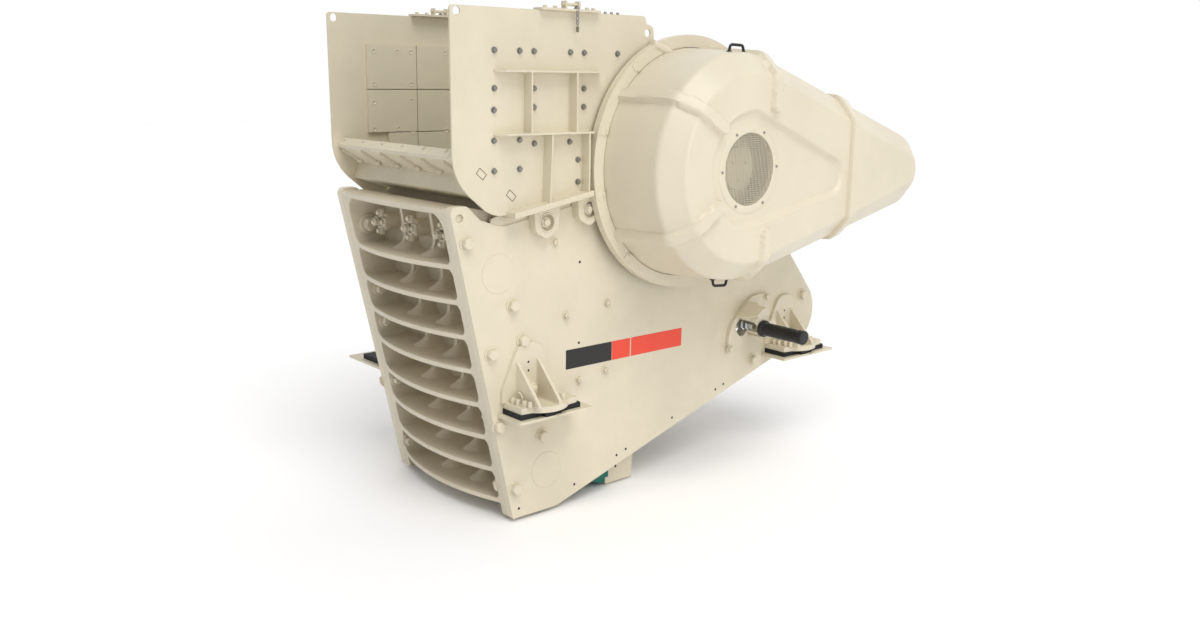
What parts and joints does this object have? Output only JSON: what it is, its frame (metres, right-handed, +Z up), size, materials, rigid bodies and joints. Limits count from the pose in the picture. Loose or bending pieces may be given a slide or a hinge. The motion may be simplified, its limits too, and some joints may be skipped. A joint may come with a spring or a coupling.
{
  "type": "jaw crusher",
  "caption": "Jaw crusher with a slanted plate frame, ribbed front casting, feed hopper, guarded flywheels, swinging jaw and four bracket feet on rubber pads.",
  "frame": {"origin": "middle of the flat underside of the front bracket foot on the belt side, under its rubber pad and sole plate", "axes": "+X out towards the belt guard side, +Y from the front frame end to the rear frame end, +Z up; the machine's middle plane is at x = -0.91 m"},
  "size_m": [3.17, 4.5303, 3.713],
  "materials": {
    "paint": "semi-gloss cream enamel",
    "rubber": "matt",
    "die": "teal enamel over cast steel",
    "cheek": "teal enamel over cast steel",
    "cylinder": "black satin",
    "rod": "hard chrome",
    "machined": "machined",
    "mesh": "painted mesh",
    "liner": "wear plate, dull"
  },
  "bodies": {
    "frame": {"adjuster_cylinder_left": "cylinder", "adjuster_cylinder_right": "cylinder", "adjuster_guide_left": "paint", "adjuster_guide_right": "paint", "bearing_housing_left": "paint", "bearing_housing_right": "paint", "belt_guard_back": "paint", "belt_guard_cover": "paint", "bracket_front_left": "paint", "bracket_front_right": "paint", "bracket_rear_left": "paint", "bracket_rear_right": "paint", "cheek_plate_left": "cheek", "cheek_plate_right": "cheek", "fixed_jaw_die": "die", "front_frame_end": "paint", "guard_posts_left": "paint", "guard_posts_right": "paint", "guard_window_left": "mesh", "guard_window_right": "mesh", "hopper_chute": "paint", "hopper_foot_left": "paint", "hopper_foot_right": "paint", "hopper_liners": "liner", "hopper_rear_wall": "paint", "hopper_side_left": "paint", "hopper_side_right": "paint", "hopper_stiffeners_left": "paint", "hopper_stiffeners_right": "paint", "hopper_top_plate_left": "paint", "hopper_top_plate_right": "paint", "jaw_clamps": "paint", "rear_frame_end": "paint", "round_guard_back": "paint", "round_guard_cover": "paint", "rubber_pad_front_left": "rubber", "rubber_pad_front_right": "rubber", "rubber_pad_rear_left": "rubber", "rubber_pad_rear_right": "rubber", "side_plate_left": "paint", "side_plate_right": "paint", "sole_plate_front_left": "paint", "sole_plate_front_right": "paint", "sole_plate_rear_left": "paint", "sole_plate_rear_right": "paint", "tension_rods": "paint", "toggle_beam": "paint", "toggle_plate": "machined"},
    "rotor": {"eccentric_shaft": "machined", "flywheel_left": "paint", "flywheel_right": "paint"},
    "swing_jaw": {"pitman": "paint", "moving_jaw_die": "die", "die_clamping_wedge": "paint"},
    "adjuster_right": {"wedge_right": "machined", "wedge_rod_right": "rod"},
    "adjuster_left": {"wedge_left": "machined", "wedge_rod_left": "rod"}
  },
  "joints": [
    {"name": "rotor_spin", "type": "hinge", "parent": "frame", "child": "rotor", "pos_m": [-0.91, 1.403, 1.76], "axis": [1, 0, 0], "continuous": true},
    {"name": "jaw_swing", "type": "hinge", "parent": "frame", "child": "swing_jaw", "pos_m": [-0.91, 1.403, 1.76], "axis": [-1, 0, 0], "range_deg": [0, 1.5]},
    {"name": "wedge_slide_right", "type": "slide", "parent": "frame", "child": "adjuster_right", "axis": [1, 0, 0], "range_m": [0, 0.1]},
    {"name": "wedge_slide_left", "type": "slide", "parent": "frame", "child": "adjuster_left", "axis": [-1, 0, 0], "range_m": [0, 0.1]}
  ]
}
